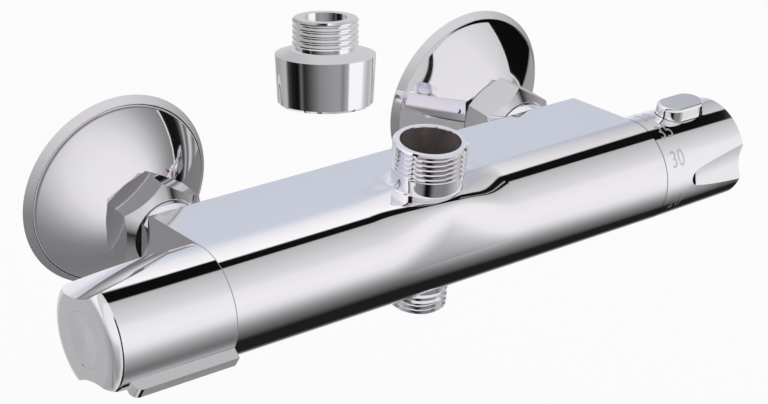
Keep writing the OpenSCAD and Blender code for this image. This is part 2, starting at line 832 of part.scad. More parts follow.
module flow_drum() rotate_extrude() {
    translate([0, flow_knob_z]) square([bar_r, flow_knob_l - flow_knob_end_r]);
    translate([0, flow_knob_z]) square([bar_r - flow_knob_end_r, flow_knob_l]);
    translate([bar_r - flow_knob_end_r, flow_knob_end - flow_knob_end_r]) circle(flow_knob_end_r);
}

module flow_knob() color(chrome) at_left() difference() {
    union() {
        difference() {
            flow_drum();
            for (turn = [0, 180]) rotate(flow_scoop_angle - 90 + turn) flow_scoop();
        }
        finger_bar();
    }
    knob_bores(
        flow_skirt_r, flow_knob_z + flow_skirt_l, flow_cavity_r, flow_knob_z, flow_wall_in, flow_knob_end
    );
}

module flow_knob_cap() at_left() end_cap(flow_knob_end, 180);

flow_spindle_end = flow_insert_z + spline_l;
flow_head_z = flow_knob_end - end_recess_l - screw_pocket_l;

module flow_knob_screw() at_left() knob_screw(flow_head_z, flow_spindle_end);

module flow_spline_insert() color("ivory") at_left() spline_insert(
    flow_insert_z, flow_spindle_end, flow_wall_in, flow_cavity_r - fit_gap, flow_stop_r - run_gap, flow_tab_angle
);

module flow_stop_ring() color("ivory") at_left() stop_ring(
    flow_stop_z, flow_stop_r, flow_lug_r,
    flow_tab_angle + flow_range + tab_half_angle(flow_lug_r),
    flow_tab_angle - flow_range + 360 - tab_half_angle(flow_lug_r)
);

// Flow cartridge: two ceramic discs; a slot in the moving one joins the inlet to one outlet at a time
module flow_cartridge_body() color(brass) at_left() difference() {
    union() {
        rod(flow_shell_r, flow_disc_z, flow_nut_z);
        rod(nose_r, flow_nut_z, flow_nose_end);
    }
    rod(flow_chamber_r, flow_disc_z - cut, flow_wall_z);
    rod(spindle_r, flow_wall_z, flow_nose_end + cut);
    translate([0, 0, flow_wall_z + cut]) tube(
        flow_shell_r + cut, flow_shell_r - 2 * oring_r, 0, flow_groove_l
    );
}

module flow_cartridge_oring() color("black") at_left()
    seal_ring(flow_bore_r - run_gap, flow_wall_z + cut + flow_groove_l / 2);

module flow_spindle() color(brass) at_left() difference() {
    union() {
        rod(carrier_r, flow_carrier_z, flow_carrier_z + carrier_l);
        rod(spindle_r - run_gap, flow_carrier_z, flow_insert_z);
        spline_head(spline_r, flow_insert_z - cut, flow_spindle_end);
    }
    rod(screw_hole_r, flow_spindle_end - screw_grip - cut, flow_spindle_end + cut);
}

module flow_moving_disc() color("white") at_left() difference() {
    rod(carrier_r, flow_moving_z, flow_moving_z + disc_l);
    translate([-disc_slot_w / 2, 0, flow_moving_z - cut])
        cube([disc_slot_w, disc_port_z + disc_port_r, disc_slot_depth + cut]);
    rod(disc_slot_w / 2, flow_moving_z - cut, flow_moving_z + disc_slot_depth);
}

module port_plate(r, l, z, inlet_r, ports_z, ports_r) difference() {
    rod(r, z, z + l);
    rod(inlet_r, z - cut, z + l + cut);
    for (up = [-1, 1]) translate([up * ports_z, 0, 0]) rod(ports_r, z - cut, z + l + cut);
}

module flow_fixed_disc() color("lightgray") at_left()
    port_plate(disc_r, disc_l, flow_disc_z, disc_inlet_r - fit_gap, disc_port_z, disc_port_r);

module flow_disc_seal() color("black") at_left()
    port_plate(flow_seal_r, flow_seal_l, flow_foot, disc_inlet_r, seal_port_z, seal_port_r);

// Threaded ring that holds a cartridge, with four slots for its spanner
module retaining_nut(r, z0, l) difference() {
    tube(r, nose_r + fit_gap, z0, z0 + l);
    for (turn = [0, 90])
        rotate(turn) translate([-r - cut, -flow_nut_slot_w / 2, z0 + l - flow_nut_slot_depth])
            cube([2 * (r + cut), flow_nut_slot_w, flow_nut_slot_depth + cut]);
}

module flow_retaining_nut() color(brass) at_left()
    retaining_nut(flow_bore_r - fit_gap, flow_nut_z, flow_nut_l);

// Temperature knob
module temp_scoop() translate([bar_r - temp_scoop_start_depth + temp_scoop_r, 0, temp_knob_end - temp_scoop_l]) {
    sphere(temp_scoop_r);
    rotate([0, -atan((temp_scoop_depth - temp_scoop_start_depth) / temp_scoop_l), 0])
        rod(temp_scoop_r, 0, 2 * temp_scoop_l);
}

// Stadium along X with a rounded top rim, from z0 to z1
module pill(l, w, z0, z1, rim) {
    module half_profile() {
        translate([0, z0]) square([w / 2 - rim, z1 - z0]);
        translate([0, z0]) square([w / 2, z1 - z0 - rim]);
        translate([w / 2 - rim, z1 - rim]) circle(rim);
    }
    for (end = [-1, 1]) translate([end * (l - w) / 2, 0, 0]) rotate_extrude() half_profile();
    translate([-(l - w) / 2, 0, 0]) rotate([90, 0, 90]) linear_extrude(l - w) {
        half_profile();
        mirror([1, 0]) half_profile();
    }
}

module at_button() at_bar() translate([button_x, 0, 0]) children();

module stadium(l, w, z0, z1) translate([0, 0, z0]) linear_extrude(z1 - z0) {
    square([l - w, w], center = true);
    for (end = [-1, 1]) translate([end * (l - w) / 2, 0]) circle(w / 2);
}

module temp_knob() color(chrome) difference() {
    at_right() difference() {
        rotate_extrude() polygon([
            [0, temp_knob_z],
            [bar_r, temp_knob_z],
            [temp_end_r, temp_knob_end - rim_chamfer],
            [temp_end_r - rim_chamfer, temp_knob_end],
            [0, temp_knob_end]
        ]);
        for (turn = [0, 180]) rotate(90 - temp_scoop_angle + turn) temp_scoop();
        knob_bores(
            temp_skirt_r, temp_knob_z + temp_skirt_l, temp_cavity_r, temp_knob_z, temp_wall_in, temp_knob_end
        );
    }
    at_button() stadium(button_l + 2 * button_gap, button_w + 2 * button_gap, button_foot, bar_d);
}

module temp_knob_cap() at_right() end_cap(temp_knob_end, 180);

temp_spindle_end = thermo_insert_z + spline_l;
temp_head_z = temp_knob_end - end_recess_l - screw_pocket_l;

module temp_knob_screw() at_right() knob_screw(temp_head_z, temp_spindle_end);

module temp_spline_insert() color("ivory") difference() {
    at_right() spline_insert(
        thermo_insert_z, temp_spindle_end, temp_wall_in, temp_cavity_r - fit_gap,
        temp_stop_r - run_gap, temp_tab_angle
    );
    at_button() rod(button_pocket_r, hub_pocket_floor, bar_r);
    at_button() stadium(button_flange_l + 2 * button_gap, button_flange_w + 2 * button_gap, hub_r, bar_r);
}

module temp_stop_ring() color("ivory") at_right() stop_ring(
    thermo_stop_z, temp_stop_r, temp_lug_r,
    temp_tab_angle + temp_hotter + tab_half_angle(temp_lug_r),
    temp_tab_angle - temp_colder + 360 - tab_half_angle(temp_lug_r)
);

// Safety button that must be pressed to pass 38 degrees
module safety_button() color(chrome) at_button() difference() {
    union() {
        pill(button_l, button_w, button_foot, bar_r + button_rise, button_rim);
        stadium(button_flange_l, button_flange_w, button_foot, button_foot + button_flange_t);
    }
    rod(button_pocket_r, button_foot - cut, button_foot + button_pocket_t);
}

module safety_button_spring() color("silver") at_button()
    coil(button_spring_r, button_wire_r, button_curls, hub_pocket_floor, button_foot + button_pocket_t);

// Thermostatic cartridge
orings_z = [
    hot_port_z - (thermo_groove_l + groove_w) / 2 - cut,
    (hot_port_z + cold_port_z) / 2,
    cold_port_z + (thermo_groove_l + groove_w) / 2 + cut
];

module thermo_cartridge_body() color(brass) at_right() difference() {
    union() {
        rod(thermo_bore_r - fit_gap, thermo_foot, thermo_seat_z);
        rod(thermo_head_bore_r - fit_gap, thermo_seat_z, thermo_flange_z);
        rod(nose_r, thermo_flange_z, thermo_nose_end);
    }
    rod(thermo_chamber_r, thermo_foot - cut, thermo_chamber_end);
    rod(spindle_r, thermo_chamber_end - cut, thermo_nose_end + cut);
    for (z = [hot_port_z, cold_port_z]) {
        tube(thermo_bore_r + cut, thermo_groove_r, z - thermo_groove_l / 2, z + thermo_groove_l / 2);
        for (i = [1 : thermo_ports])
            rotate(360 * i / thermo_ports) translate([0, 0, z]) rotate([0, 90, 0]) rod(thermo_port_r, 0, bar_r);
    }
    for (z = orings_z)
        tube(thermo_bore_r + cut, thermo_bore_r - fit_gap - 2 * oring_r, z - groove_w / 2, z + groove_w / 2);
}

module thermo_orings() color("black") at_right()
    for (z = orings_z) seal_ring(thermo_bore_r - run_gap, z);

module thermo_end_cap() color("ivory") at_right()
    tube(thermo_chamber_r - fit_gap, thermo_outlet_r, thermo_foot, thermo_foot + thermo_cap_l);

module thermo_retaining_nut() color(brass) at_right()
    retaining_nut(thermo_head_bore_r - fit_gap, thermo_flange_z, thermo_nut_l);

module thermo_spindle() color(brass) at_right() difference() {
    union() {
        rod(cup_r, cup_z, thermo_chamber_end - face_gap);
        rod(cup_flange_r, thermo_chamber_end - face_gap - cup_flange_l, thermo_chamber_end - face_gap);
        rod(spindle_r - run_gap, thermo_chamber_end - cut, thermo_insert_z);
        spline_head(spline_r, thermo_insert_z - cut, temp_spindle_end);
    }
    rod(cup_bore_r, cup_z - cut, thermo_chamber_end - face_gap - cup_floor);
    rod(screw_hole_r, temp_spindle_end - screw_grip - cut, temp_spindle_end + cut);
}

// Adjuster, overload spring, thrust cap, wax element and shuttle move along the bar together
module thermo_adjuster() color(brass) at_right() difference() {
    rod(adjuster_r, adjuster_z, adjuster_z + adjuster_l);
    rod(adjuster_bore_r, adjuster_z - cut, adjuster_z + adjuster_l - adjuster_floor);
}

module thermo_thrust_cap() color("silver") at_right() rod(thrust_r, thrust_z, thrust_z + thrust_l);

module thermo_overload_spring() color("silver") at_right() coil(
    overload_spring_r, overload_wire_r, overload_curls,
    thrust_z + thrust_l, adjuster_z + adjuster_l - adjuster_floor
);

module thermo_element() color("peru") at_right() {
    rod(element_r, web_z - element_l, web_z);
    rod(element_neck_r - fit_gap, web_z - cut, neck_end_z);
    rod(element_pin_r, neck_end_z - cut, thrust_z);
}

module thermo_shuttle() color("whitesmoke") at_right() difference() {
    union() {
        tube(thermo_chamber_r - run_gap, shuttle_bore_r, shuttle_z, shuttle_z + shuttle_l);
        rod(shuttle_bore_r + face_gap, web_z, web_z + shuttle_web_l);
    }
    rod(element_neck_r, web_z - cut, web_z + shuttle_web_l + cut);
    for (i = [1 : web_holes])
        rotate(360 * i / web_holes) translate([web_hole_circle_r, 0, 0])
            rod(web_hole_r, web_z - cut, web_z + shuttle_web_l + cut);
}

module thermo_return_spring() color("silver") at_right()
    coil(return_spring_r, return_wire_r, return_curls, return_z, web_z);

// Loose adapter: a collar that screws on the top outlet, with a half-inch spigot for a hose
module at_adapter() translate([adapter_x, adapter_y, adapter_z])
    rotate([-adapter_lean_back, adapter_lean_side, 0]) translate([0, 0, -adapter_h / 2]) children();

module outlet_adapter() color(chrome) at_adapter() difference() {
    shoulder_z = adapter_collar_h + adapter_shoulder_h;
    union() {
        rotate_extrude() polygon([
            [0, 0],
            [adapter_d / 2 - adapter_taper - adapter_base_chamfer, 0],
            [adapter_d / 2 - adapter_taper, adapter_base_chamfer],
            [adapter_d / 2, adapter_collar_h],
            [adapter_neck_r + adapter_shoulder_h, shoulder_z],
            [0, shoulder_z]
        ]);
        threaded_rod(
            half_inch_r, adapter_neck_r, cut, adapter_h, adapter_h - rim_chamfer, adapter_turns
        );
    }
    rod(three_quarter_r + fit_gap, -cut, adapter_socket_h);
    rod(adapter_bore_r, 0, adapter_h + cut);
}

module adapter_washer() color("dimgray") at_adapter()
    tube(three_quarter_r, adapter_bore_r, adapter_socket_h - adapter_washer_l, adapter_socket_h);

valve_body();
escutcheon(-1);  // hot_escutcheon
escutcheon(1);  // cold_escutcheon
eccentric(-1);  // hot_eccentric
eccentric(1);  // cold_eccentric
union_nut(-1);  // hot_union_nut
union_nut(1);  // cold_union_nut
inlet_tail(-1);  // hot_inlet_tail
inlet_tail(1);  // cold_inlet_tail
filter_washer(-1);  // hot_filter_washer
filter_washer(1);  // cold_filter_washer
check_housing(-1);  // hot_check_housing
check_housing(1);  // cold_check_housing
check_poppet(-1);  // hot_check_poppet
check_poppet(1);  // cold_check_poppet
check_spring(-1);  // hot_check_spring
check_spring(1);  // cold_check_spring
marker(-1);  // hot_marker
marker(1);  // cold_marker
flow_knob();
flow_knob_cap();
flow_knob_screw();
flow_spline_insert();
flow_stop_ring();
flow_cartridge_body();
flow_spindle();
flow_moving_disc();
flow_fixed_disc();
flow_disc_seal();
flow_retaining_nut();
flow_cartridge_oring();
temp_knob();
temp_knob_cap();
temp_knob_screw();
temp_spline_insert();
temp_stop_ring();
thermo_cartridge_body();
thermo_end_cap();
thermo_spindle();
thermo_adjuster();
thermo_overload_spring();
thermo_thrust_cap();
thermo_element();
thermo_shuttle();
thermo_return_spring();
thermo_retaining_nut();
thermo_orings();
safety_button();
safety_button_spring();
outlet_adapter();
adapter_washer();
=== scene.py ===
import math

import bmesh
import bpy
from mathutils import Matrix, Vector


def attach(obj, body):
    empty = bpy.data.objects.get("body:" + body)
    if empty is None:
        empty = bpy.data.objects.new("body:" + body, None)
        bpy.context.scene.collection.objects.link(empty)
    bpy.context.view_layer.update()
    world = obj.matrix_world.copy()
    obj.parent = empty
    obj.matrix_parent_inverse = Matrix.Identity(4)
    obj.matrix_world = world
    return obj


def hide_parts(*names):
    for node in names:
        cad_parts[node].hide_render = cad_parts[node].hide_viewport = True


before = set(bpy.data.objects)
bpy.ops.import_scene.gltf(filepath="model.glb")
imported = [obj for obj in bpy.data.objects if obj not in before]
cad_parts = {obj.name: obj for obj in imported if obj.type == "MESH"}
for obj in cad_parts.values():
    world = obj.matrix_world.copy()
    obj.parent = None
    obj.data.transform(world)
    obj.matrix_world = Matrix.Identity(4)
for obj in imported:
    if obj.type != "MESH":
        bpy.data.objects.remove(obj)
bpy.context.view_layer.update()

MM = 0.001

# Sizes that follow part.scad, in millimetres
BAR_R = 20.0
SHELF_R = 19.98
SHELF_FALL = math.radians(7.5)
INLET_X = 80.0
COLLAR_R = 13.0
COLLAR_TOP = 26.9
RIM_R = 37.0
WALL_Y = 77.0
ESCUTCHEON_WALL = 1.4
TOP_BORE_R = 10.8
TOP_END = 37.5
BOTTOM_BORE_R = 7.5
BOTTOM_END = 27.0
ECCENTRIC_BORE_R = 13.27
TEMP_KNOB_Z = 100.8
TEMP_KNOB_L = 41.6
TEMP_END_R = 19.5


# Camera, solved from the photo's edges
def make_camera():
    data = bpy.data.cameras.new("camera")
    data.lens = 93.0
    data.sensor_width = 36.0
    data.clip_start = 0.01
    data.clip_end = 50.0
    camera = bpy.data.objects.new("camera", data)
    bpy.context.collection.objects.link(camera)
    right = Vector((0.80177435, -0.59404403, 0.06534202)).normalized()
    back = right.cross(Vector((0.23697996, 0.41639795, 0.87775466))).normalized()
    up = back.cross(right)
    turn = Matrix((right, up, back)).transposed().to_4x4()
    camera.matrix_world = Matrix.Translation((-0.393855, -0.547883, 0.339852)) @ turn
    bpy.context.scene.camera = camera


make_camera()
bpy.context.scene.view_settings.view_transform = "Standard"


# Frames of part.scad, in metres: each maps local millimetres to the part's frame
def place(x_axis, y_axis, z_axis, origin):
    turn = Matrix((x_axis, y_axis, z_axis)).transposed().to_4x4()
    return Matrix.Translation(Vector(origin) * MM) @ turn @ Matrix.Scale(MM, 4)


AT_BAR = place((1, 0, 0), (0, 1, 0), (0, 0, 1), (0, -WALL_Y, -3))


def at_inlet(side):
    return place((1, 0, 0), (0, 0, -1), (0, 1, 0), (side * INLET_X, -WALL_Y, 0))


# Node helpers
def make(tree, kind, **sockets):
    made = tree.nodes.new(kind)
    for name, value in sockets.items():
        made.inputs[name.replace("_", " ")].default_value = value
    return made


def new_material(name):
    material = bpy.data.materials.new(name)
    material.use_nodes = True
    material.node_tree.nodes.clear()
    return material, material.node_tree


def calc(tree, operation, a, b=None):
    """Math node; a and b are sockets or numbers."""
    made = tree.nodes.new("ShaderNodeMath")
    made.operation = operation
    for index, value in enumerate((a, b)):
        if isinstance(value, (int, float)):
            made.inputs[index].default_value = value
        elif value is not None:
            tree.links.new(value, made.inputs[index])
    return made.outputs[0]


def linear(part):
    """Linear share of an sRGB value out of 255."""
    return ((part / 255 + 0.055) / 1.055) ** 2.4 if part > 10 else part / 3295


def ramp(tree, value, stops):
    """Colour ramp from the first stop to the last; stops are (value, sRGB grey or colour out of 255)."""
    low, high = stops[0][0], stops[-1][0]
    share = make(tree, "ShaderNodeMapRange", From_Min=low, From_Max=high)
    tree.links.new(value, share.inputs["Value"])
    made = tree.nodes.new("ShaderNodeValToRGB")
    elements = made.color_ramp.elements
    elements.remove(elements[1])
    for index, (at, colour) in enumerate(stops):
        where = (at - low) / (high - low)
        element = elements[0] if index == 0 else elements.new(where)
        element.position = where
        parts = colour if isinstance(colour, tuple) else (colour,) * 3
        element.color = (*[linear(part) for part in parts], 1)
    tree.links.new(share.outputs[0], made.inputs[0])
    return made.outputs[0]


def step(tree, value, low, high):
    """Smooth step from 0 at low to 1 at high; low may be the greater of the two."""
    made = tree.nodes.new("ShaderNodeMapRange")
    made.interpolation_type = "SMOOTHSTEP"
    made.inputs["From Min"].default_value = low
    made.inputs["From Max"].default_value = high
    tree.links.new(value, made.inputs["Value"])
    return made.outputs[0]


def window(tree, value, low, high, soft):
    """1 between low and high, falling to 0 over soft on both sides."""
    return calc(tree, "MULTIPLY", step(tree, value, low - soft, low), step(tree, value, high + soft, high))


def blend(tree, factor, below, above):
    """Mix of two colours; factor is a socket or a number."""
    made = tree.nodes.new("ShaderNodeMix")
    made.data_type = "RGBA"
    if isinstance(factor, float):
        made.inputs[0].default_value = factor
    else:
        tree.links.new(factor, made.inputs[0])
    tree.links.new(below, made.inputs[6])
    tree.links.new(above, made.inputs[7])
    return made.outputs[2]


# Studio: white world, pale floor, and tents whose cloths only the metal sees
FLOOR_HALF = 6.0
FLOOR_Z = -0.45


def make_world():
    world = bpy.data.worlds.new("studio")
    world.use_nodes = True
    background = world.node_tree.nodes["Background"]
    background.inputs["Color"].default_value = (1, 1, 1, 1)
    background.inputs["Strength"].default_value = 1.0
    bpy.context.scene.world = world


def make_floor():
    corners = [(x * FLOOR_HALF, y * FLOOR_HALF, FLOOR_Z) for x, y in ((-1, -1), (1, -1), (1, 1), (-1, 1))]
    mesh = bpy.data.meshes.new("floor")
    mesh.from_pydata(corners, [], [(0, 1, 2, 3)])
    floor = bpy.data.objects.new("floor", mesh)
    bpy.context.collection.objects.link(floor)
    floor.visible_glossy = False
    material, tree = new_material("floor")
    shader = make(tree, "ShaderNodeBsdfPrincipled", Base_Color=(0.97, 0.97, 0.97, 1), Roughness=0.95)
    shader.inputs["Specular IOR Level"].default_value = 0.0
    out = tree.nodes.new("ShaderNodeOutputMaterial")
    tree.links.new(shader.outputs[0], out.inputs[0])
    mesh.materials.append(material)


# Greys round the bar's axis: degrees from the wall side over the top to the front and down
ABOVE = [
    (0, (226, 226, 232)), (14, (199, 204, 214)), (20, (206, 211, 222)), (27, (214, 219, 229)),
    (36, (227, 230, 239)), (45, 240), (60, 250), (73, 255)
]
BELOW = (360, (226, 226, 232))
FRONT = [
    (104, 196), (134, 222), (146, 238), (168, 244), (184, 238), (194, 216), (203, 186), (213, 150),
    (224, 116), (234, 92), (243, 56), (248, 30), (284, 32), (291, 74), (298, 120), (306, 196), (314, 232),
    (325, 244), BELOW
]
ROUND_BAR = ABOVE + [(76.5, 255), (78, 16), (91.5, 16), (93, 186)] + FRONT
ROUND_KNOB = ABOVE[:-1] + [(68, 255), (70, 14), (96, 14), (98.5, 190)] + FRONT
ROUND_FLOW_KNOB = ABOVE[:-1] + [
    (68, 255), (70, 14), (92, 14), (94.5, 188), (104, 196), (134, 222), (146, 238), (168, 244), (184, 238),
    (194, 216), (205, 180), (215, 154), (225, 131), (235, 112), (245, 128), (255, 172), (261, 165), (265, 80),
    (268, 10), (274, 10), (277, 178), (305, 180), (325, 200), BELOW
]
# Towards the right end the bar's greys bend: the x of the direction from which and to which they do, the degrees
# that the upper black line and the front greys rise for each unit of x, how fast the upper greys dim and to
# what, and the window of degrees that holds each
BEND_FROM, BEND_TO = 0.54, 0.70
UPPER_RISE, UPPER_LINE = 62.0, (60, 82, 9)
FRONT_RISE, FRONT_GREYS = -165.0, (200, 246, 50)
UPPER_DIMMING, UPPER_DIM_GREY, UPPER_GREYS = 2.4, 20, (26, 74, 8)
# Greys round the horizon: degrees of heading from +X towards the wall
ROUND_COLLAR = [
    (0, 112), (4, 140), (10, 196), (20, 238), (50, 160), (106, 176), (117, 140), (130, 132), (142, 140),
    (153, 190), (170, 170), (187, 150), (218, 124), (226, 60), (228, 16), (238, 16), (244, 72), (254, 128),
    (291, 132), (301, 145), (322, 176), (346, 203), (355, 150), (360, 112)
]
ROUND_ADAPTER = [
    (0, 198), (20, 205), (40, 208), (64, 208), (76, 176), (93, 160), (135, 184), (140, 112), (145, 62),
    (156, 30), (172, 12), (176, 60), (180, 106), (184, 70), (188, 42), (195, 62), (210, 104), (224, 136),
    (250, 153), (266, 155), (274, 130), (281, 158), (287, 176), (289, 254), (325, 254), (329, 226),
    (335, 206), (347, 178), (360, 198)
]
# The collar's cloths hang at these heights, in degrees, with a soft edge; between these x only the bar looks
LOW_CLOTHS = (-50, -13, 4)
BAR_LOOKS = (0.41, 0.73, 0.05)
# Greys round a union nut, by degrees from +X over the top; dark where one flat meets the next
NUT = {
    "hot": [
        (0, 150), (20, 146), (34, 24), (60, 24), (76, 132), (140, 150), (152, 20), (182, 20), (198, 118),
        (250, 122), (272, 30), (330, 50), (347, 150), (360, 150)
    ],
    "cold": [
        (0, 186), (16, 60), (48, 30), (64, 200), (124, 212), (140, 20), (172, 20), (190, 160), (240, 150),
        (270, 50), (316, 172), (360, 186)
    ]
}
# The same on the front cones
NUT_CONE = [
    (0, 160), (30, 125), (44, 34), (56, 180), (100, 220), (160, 206), (186, 150), (200, 44), (230, 124),
    (360, 160)
]
# y of the direction at which the cones' greys give way to the flats', and the cold nut's to the hot one's
CONE_TO_FLATS = (0.38, 0.52)
COLD_TO_HOT = (0.69, 0.715)
# Greys on the flow knob's end by x of the direction, and over it by degrees above the horizon. They begin over
# these x and heights, with a share of the round greys mixed in, behind a line across the front
FLOW_END = [
    (-1, 158), (-0.5, 166), (-0.40, 178), (-0.25, 210), (-0.06, 246), (0.0, 236), (0.04, 16), (0.20, 16),
    (1, 16)
]
FLOW_END_ABOVE = [(-90, 130), (-10, 200), (20, 246), (90, 255)]
FLOW_END_X, FLOW_END_ABOVE_HEIGHT, FLOW_END_ROUND_SHARE = (0.25, 0.21), (-6, 14), 0.3
FLOW_LINE_X, FLOW_LINE_HEIGHT, FLOW_LINE_Y, FLOW_LINE_GREY = (0.04, 0.4, 0.02), (62, 50), (-0.2, -0.35), 16
# Greys on the temperature knob's end by degrees above the horizon, and what comes before it by x
TEMP_END = [(-90, 120), (-20, 160), (10, 205), (90, 240)]
TEMP_PALE_X, TEMP_PALE_GREY, TEMP_PALE_SHARE = (0.715, 0.745), 236, 0.62
TEMP_LINE_X, TEMP_LINE_GREY = (0.855, 0.92, 0.015), 18
TEMP_END_X = (0.925, 0.95)
# Greys on the escutcheons' faces, by degrees from the way that most of a face looks
FACE = {
    "hot": [
        (0, 240), (34, 236), (45, 227), (56, 198), (64, 168), (70, 148), (76, 132), (91, 120), (120, 128),
        (180, 150)
    ],
    "cold": [(0, 234), (45, 231), (56, 222), (66, 214), (76, 196), (100, 168), (140, 150), (180, 140)]
}
FACE_WAY_Y, FACE_WAY_Z = -0.995, 0.1
# The same on their right, by degrees of heading from the dark cloth's near edge
FLAG = {
    "hot": [
        (-6, 232), (-1.2, 236), (-0.9, 255), (-0.2, 255), (0, 16), (9, 24), (12, 90), (14, 190), (16, 60),
        (20, 214), (24, 100), (31, 206), (60, 180)
    ],
    "cold": [(-6, 232), (-0.5, 236), (0, 12), (60, 12)]
}
# That cloth's near edge, how far the edge leans below 10 degrees, and the cloth's lowest height, in degrees
FLAG_EDGE = {"hot": (168.5, 0.0, -18), "cold": (161.5, 0.9, -13)}
FLAG_LEANS_BELOW = 10.0
# The cold face's floor, outer part and edge line: greys, heights, and headings that lean with the height
FLOOR_GREY, FLOOR_HEIGHT = 158, (5.0, 2.5)
OUTER_GREY, OUTER_HEIGHT, OUTER_SIDE = 206, (0, 4), (227, 224)
EDGE_GREY, EDGE_HEIGHT, EDGE_SIDE = 14, (-1, 60, 2), (224.6, 227.4, 0.6)
SIDE_LEAN = 0.47
# Greys of their rims, by degrees above the horizon
RIM = [(-90, 116), (-60, 122), (-25, 134), (0, 172), (34, 206), (55, 216), (90, 222)]
# Radii of the tents in metres: the first, the step to the next, and the last
TENT_R, TENT_R_STEP, LAST_TENT_R = 3.0, 0.1, 4.0


class Cloths:
    """Greys of a tent's cloths, as nodes over the direction from the object's middle."""
    def __init__(self, tree):
        self.tree = tree
        where = tree.nodes.new("ShaderNodeTexCoord")
        unit = tree.nodes.new("ShaderNodeVectorMath")
        unit.operation = "NORMALIZE"
        split = tree.nodes.new("ShaderNodeSeparateXYZ")
        tree.links.new(where.outputs["Object"], unit.inputs[0])
        tree.links.new(unit.outputs[0], split.inputs[0])
        self.x, self.y, self.z = split.outputs
        self.around = self.turn(self.z, self.y)
        self.heading = self.turn(self.y, self.x)
        self.height = self.degrees("ARCSINE", self.z)

    def degrees(self, operation, *values):
        return calc(self.tree, "MULTIPLY", calc(self.tree, operation, *values), 180 / math.pi)

    def turn(self, a, b, start=0.0):
        """Degrees from b towards a, counted from start."""
        turned_by = calc(self.tree, "ADD", self.degrees("ARCTAN2", a, b), 720.0 - start)
        return calc(self.tree, "MODULO", turned_by, 360.0)

    def bar(self, stops, raise_by=UPPER_RISE):
        """The bar's greys; towards the right end the front ones hang lower and the upper ones are dimmer."""
        tree = self.tree
        short_of_end = calc(tree, "MINIMUM", self.x, BEND_TO)
        along = calc(tree, "MAXIMUM", calc(tree, "SUBTRACT", short_of_end, BEND_FROM), 0.0)
        raised = calc(tree, "MULTIPLY", window(tree, self.around, *UPPER_LINE), raise_by)
        lowered = calc(tree, "MULTIPLY", window(tree, self.around, *FRONT_GREYS), FRONT_RISE)
        skew = calc(tree, "MULTIPLY", along, calc(tree, "ADD", raised, lowered))
        colour = ramp(tree, calc(tree, "ADD", self.around, skew), stops)
        upper = window(tree, self.around, *UPPER_GREYS)
        dim = calc(tree, "MULTIPLY", upper, calc(tree, "MULTIPLY", along, UPPER_DIMMING))
        return blend(tree, dim, colour, self.plain(UPPER_DIM_GREY))

    def plain(self, grey):
        made = self.tree.nodes.new("ShaderNodeRGB")
        made.outputs[0].default_value = (*[linear(grey)] * 3, 1)
        return made.outputs[0]

    def both(self, *masks):
        whole = masks[0]
        for mask in masks[1:]:
            whole = calc(self.tree, "MULTIPLY", whole, mask)
        return whole


def collar_cloths(cloths, shown=None):
    """The bar's greys and, low in the round, the collar's own, where they are shown."""
    tree = cloths.tree
    low = window(tree, cloths.height, *LOW_CLOTHS)
    if shown is not None:
        low = cloths.both(shown, low)
    return blend(tree, low, cloths.bar(ROUND_BAR), ramp(tree, cloths.heading, ROUND_COLLAR))


def body_cloths(cloths):
    """The collar's low cloths show wherever the bar itself doesn't look."""
    tree = cloths.tree
    return collar_cloths(cloths, calc(tree, "SUBTRACT", 1.0, window(tree, cloths.x, *BAR_LOOKS)))


def flow_knob_cloths(cloths):
    """Round the left end's edge the greys follow x: a black line, a bright one, then the end's own grey."""
    tree = cloths.tree
    above = ramp(tree, cloths.height, FLOW_END_ABOVE)
    is_above = step(tree, cloths.height, *FLOW_END_ABOVE_HEIGHT)
    beyond = blend(tree, is_above, ramp(tree, cloths.x, FLOW_END), above)
    beyond = blend(tree, FLOW_END_ROUND_SHARE, beyond, cloths.bar(ROUND_FLOW_KNOB, 0.0))
    line = cloths.both(
        window(tree, cloths.x, *FLOW_LINE_X), step(tree, cloths.height, *FLOW_LINE_HEIGHT),
        step(tree, cloths.y, *FLOW_LINE_Y)
    )
    beyond = blend(tree, line, beyond, cloths.plain(FLOW_LINE_GREY))
    return blend(tree, step(tree, cloths.x, *FLOW_END_X), cloths.bar(ROUND_FLOW_KNOB, 0.0), beyond)


def nut_cloths(cloths):
    """The hot nut's flats look further towards the wall than the cold one's, and both cones to the front."""
    tree = cloths.tree
    turned_to = cloths.turn(cloths.z, cloths.x)
    cone, cold, hot = (ramp(tree, turned_to, stops) for stops in (NUT_CONE, NUT["cold"], NUT["hot"]))
    flats = blend(tree, step(tree, cloths.y, *COLD_TO_HOT), cold, hot)
    return blend(tree, step(tree, cloths.y, *CONE_TO_FLATS), cone, flats)


def temp_knob_cloths(cloths):
    """Along x the round greys turn paler, then a black line comes, then the end's own greys."""
    tree = cloths.tree
    pale = calc(tree, "MULTIPLY", step(tree, cloths.x, *TEMP_PALE_X), TEMP_PALE_SHARE)
    paler = blend(tree, pale, cloths.bar(ROUND_KNOB, 0.0), cloths.plain(TEMP_PALE_GREY))
    lined = blend(tree, window(tree, cloths.x, *TEMP_LINE_X), paler, cloths.plain(TEMP_LINE_GREY))
    return blend(tree, step(tree, cloths.x, *TEMP_END_X), lined, ramp(tree, cloths.height, TEMP_END))


def adapter_cloths(cloths):
    return ramp(cloths.tree, cloths.heading, ROUND_ADAPTER)


